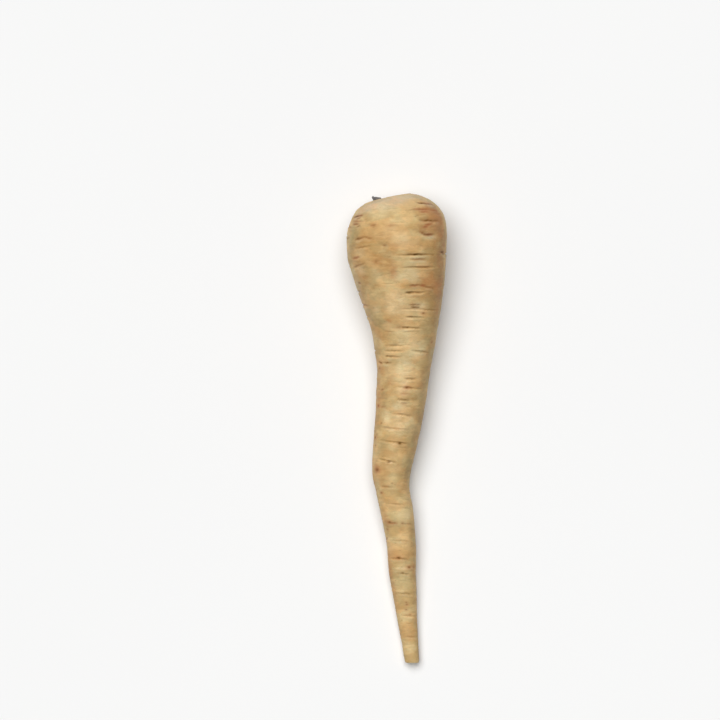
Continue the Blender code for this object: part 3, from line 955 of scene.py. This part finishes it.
class Shader:
    """A material's nodes, made one after another."""

    def __init__(self, name):
        self.material = bpy.data.materials.new(name)
        self.material.use_nodes = True
        self.tree = self.material.node_tree
        self.surface = self.tree.nodes["Principled BSDF"]
        self.place = self.tree.nodes.new("ShaderNodeTexCoord").outputs["Object"]

    def node(self, kind, **settings):
        """A new node of this kind, with these settings."""
        made = self.tree.nodes.new(kind)
        for key, value in settings.items():
            setattr(made, key, value)
        return made

    def feed(self, socket, value):
        """Links a node's output to a socket, or sets the socket to a plain value."""
        if isinstance(value, bpy.types.NodeSocket):
            self.tree.links.new(value, socket)
        else:
            socket.default_value = value

    def value(self, name):
        """A number stored on the mesh."""
        return self.node("ShaderNodeAttribute", attribute_name=name).outputs["Fac"]

    def noise(self, period, detail=3.0, roughness=0.55):
        """Noise whose lumps have this size in millimetres across, along the root and upwards."""
        mapping = self.node("ShaderNodeMapping")
        self.feed(mapping.inputs["Vector"], self.place)
        mapping.inputs["Scale"].default_value = [1.0 / (p * MM) for p in period]
        texture = self.node("ShaderNodeTexNoise")
        self.feed(texture.inputs["Vector"], mapping.outputs["Vector"])
        texture.inputs["Scale"].default_value = 1.0
        texture.inputs["Detail"].default_value = detail
        texture.inputs["Roughness"].default_value = roughness
        return texture.outputs["Fac"]

    def ranged(self, value, low, high, to_low=0.0, to_high=1.0):
        """The value, where low becomes to_low and high becomes to_high, and no further."""
        made = self.node("ShaderNodeMapRange", interpolation_type="SMOOTHSTEP")
        for socket, number in zip(made.inputs, (value, low, high, to_low, to_high)):
            self.feed(socket, number)
        return made.outputs["Result"]

    def combined(self, operation, a, b):
        """Two values put together by a mathematical operation."""
        made = self.node("ShaderNodeMath", operation=operation)
        self.feed(made.inputs[0], a)
        self.feed(made.inputs[1], b)
        return made.outputs["Value"]

    def times(self, a, b):
        return self.combined("MULTIPLY", a, b)

    def plus(self, a, b):
        return self.combined("ADD", a, b)

    def mixed(self, factor, a, b, blend="MIX"):
        """Colour a turning to colour b as the factor goes from 0 to 1."""
        made = self.node("ShaderNodeMix", data_type="RGBA", blend_type=blend)
        self.feed(made.inputs["Factor"], factor)
        colours = [s for s in made.inputs if s.type == "RGBA"]
        self.feed(colours[0], a)
        self.feed(colours[1], b)
        return next(s for s in made.outputs if s.type == "RGBA")

    def bump(self, height, depth):
        """A bump that is `depth` millimetres high where `height` goes from 0 to 1."""
        made = self.node("ShaderNodeBump")
        self.feed(made.inputs["Height"], height)
        made.inputs["Distance"].default_value = depth * MM
        made.inputs["Strength"].default_value = 1.0
        self.feed(self.surface.inputs["Normal"], made.outputs["Normal"])

    def set(self, **values):
        """Sets the surface's own sockets, with _ for each space in a socket's name."""
        for name, value in values.items():
            self.feed(self.surface.inputs[name.replace("_", " ")], value)


def skin_material():
    """Washed parsnip skin: tan, mottled in rings, with brown creases and coloured blotches. Among the
    blotches are painted shade on the flanks and a painted sheen on the crown, and the creases' lower
    lips carry painted highlights.
    """
    shader = Shader("parsnip_skin")
    mottle = shader.noise((20.0, 13.0, 20.0), detail=3.0)
    patches = shader.noise((4.5, 2.2, 4.5), detail=3.0, roughness=0.6)
    rings = shader.noise((8.0, 1.1, 8.0), detail=5.0, roughness=0.65)
    grain = shader.noise((1.1, 0.45, 1.1), detail=4.0, roughness=0.6)
    colour = shader.mixed(shader.ranged(mottle, 0.42, 0.58), linear(SKIN_DEEP), linear(SKIN_LIGHT))
    for mark, strength, tone in SKIN_LAYERS:
        colour = shader.mixed(shader.times(shader.value(mark), strength), colour, linear(tone))
    tint = shader.ranged(shader.noise((12.0, 8.0, 12.0), detail=2.0), 0.44, 0.56)
    colour = shader.mixed(0.8, colour, shader.mixed(tint, WARM_TINT, COOL_TINT), blend="MULTIPLY")
    broad = shader.ranged(shader.noise((9.0, 5.0, 9.0), detail=3.0), 0.46, 0.54, 0.945, 1.04)
    colour = shader.mixed(1.0, colour, broad, blend="MULTIPLY")
    flecks = shader.ranged(patches, 0.32, 0.68, 0.96, 1.04)
    colour = shader.mixed(1.0, colour, flecks, blend="MULTIPLY")
    streaks = shader.ranged(rings, 0.3, 0.72, 0.95, 1.03)
    colour = shader.mixed(0.8, colour, streaks, blend="MULTIPLY")
    fine = shader.ranged(grain, 0.25, 0.75, 0.88, 1.1)
    colour = shader.mixed(0.4, colour, fine, blend="MULTIPLY")
    pores = shader.ranged(shader.noise((1.5, 0.5, 1.5), detail=1.0), 0.70, 0.80)
    colour = shader.mixed(shader.times(pores, 0.5), colour, linear(PORE))
    colour = shader.mixed(shader.value("crease"), colour, linear(CREASE))
    colour = shader.mixed(shader.times(shader.value("hollow"), 0.8), colour, linear(HOLLOW))
    core = shader.ranged(shader.value("core"), 0.5, 0.66)
    face = shader.mixed(core, linear(CUT_EDGE), linear(CUT_CORE))
    colour = shader.mixed(shader.value("cut"), colour, face)
    uneven = shader.plus(shader.times(mottle, 0.5), shader.times(grain, 0.5))
    roughness = shader.ranged(uneven, 0.3, 0.7, 0.5, 0.68)
    shader.set(Base_Color=colour, Roughness=roughness, Specular_IOR_Level=0.22)
    shader.set(Subsurface_Weight=0.1, Subsurface_Radius=(1.0, 0.5, 0.25), Subsurface_Scale=0.0025)
    shader.bump(shader.plus(shader.times(rings, 0.55), shader.times(grain, 0.45)), 0.18)
    return shader.material


def stalk_material():
    """Dried leaf-stalk bases: grey-brown and fibrous, darkest at their tops, paler where cut."""
    shader = Shader("stalk_skin")
    fibres = shader.noise((0.45, 5.0, 0.45), detail=4.0, roughness=0.6)
    patches = shader.noise((2.6, 2.6, 2.6), detail=3.0)
    colour = shader.mixed(shader.ranged(patches, 0.35, 0.65), linear(STALK_DEEP), linear(STALK_LIGHT))
    colour = shader.mixed(shader.value("height"), colour, linear(STALK_TOP))
    cut = shader.times(shader.value("cut"), shader.ranged(fibres, 0.35, 0.6))
    colour = shader.mixed(shader.times(cut, 0.45), colour, linear(STALK_CUT))
    strands = shader.ranged(fibres, 0.3, 0.7, 0.55, 1.15)
    colour = shader.mixed(0.8, colour, strands, blend="MULTIPLY")
    shader.set(Base_Color=colour, Roughness=0.85, Specular_IOR_Level=0.2)
    shader.bump(fibres, 0.25)
    return shader.material


def floor_material():
    """Plain matt near-white, with the faintest unevenness."""
    shader = Shader("floor")
    clouds = shader.noise((400.0, 400.0, 400.0), detail=2.0)
    colour = shader.mixed(clouds, linear(FLOOR_DEEP), linear(FLOOR_LIGHT))
    shader.set(Base_Color=colour, Roughness=0.9)
    return shader.material


def make_floor():
    """The flat floor that the root lies on."""
    mesh = bpy.data.meshes.new("floor_mesh")
    corners = [(x * FLOOR_HALF, y * FLOOR_HALF, 0) for x, y in ((-1, -1), (1, -1), (1, 1), (-1, 1))]
    mesh.from_pydata(corners, [], [(0, 1, 2, 3)])
    add_object("floor", mesh, floor_material())


def make_light():
    """Soft studio light: one large, far key above, a little left and towards the crown, in a
    room that looks pale but adds only a little light."""
    world = bpy.data.worlds.new("room")
    world.use_nodes = True
    nodes, links = world.node_tree.nodes, world.node_tree.links
    background = nodes["Background"]
    background.inputs["Color"].default_value = ROOM_COLOUR
    strength = nodes.new("ShaderNodeMapRange")
    strength.inputs["To Min"].default_value = ROOM_LIGHT
    strength.inputs["To Max"].default_value = ROOM_SHOWN
    links.new(nodes.new("ShaderNodeLightPath").outputs["Is Camera Ray"], strength.inputs["Value"])
    links.new(strength.outputs["Result"], background.inputs["Strength"])
    bpy.context.scene.world = world

    key = bpy.data.objects.new("key", bpy.data.lights.new("key", "SUN"))
    key.data.energy = KEY_STRENGTH
    key.data.angle = KEY_SPREAD
    key.data.color = KEY_COLOUR
    key.rotation_euler = Vector(KEY_FROM).to_track_quat("Z", "Y").to_euler()
    bpy.context.scene.collection.objects.link(key)


def make_camera(shift):
    """Straight above the root, with the crown at the top of the frame."""
    camera = bpy.data.objects.new("camera", bpy.data.cameras.new("camera"))
    bpy.context.scene.collection.objects.link(camera)
    right, along = VIEW_X + shift[0], shift[1] - VIEW_DOWN
    camera.location = (right * MM, along * MM, (VIEW_HEIGHT + OUTLINE_HEIGHT) * MM)
    camera.data.lens = camera.data.sensor_width * VIEW_HEIGHT / FRAME_WIDTH
    camera.data.clip_start = NEAREST_SEEN
    bpy.context.scene.camera = camera


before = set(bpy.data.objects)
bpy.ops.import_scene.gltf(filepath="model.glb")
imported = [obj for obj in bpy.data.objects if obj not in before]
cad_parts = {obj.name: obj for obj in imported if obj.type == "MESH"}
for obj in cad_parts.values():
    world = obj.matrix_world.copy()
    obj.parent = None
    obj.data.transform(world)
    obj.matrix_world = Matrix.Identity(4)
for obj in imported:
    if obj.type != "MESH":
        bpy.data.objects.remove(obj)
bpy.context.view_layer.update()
bpy.context.scene.view_settings.view_transform = "Standard"
own_shift = make_root()
make_stalk_bases(own_shift)
make_floor()
make_light()
make_camera(own_shift)
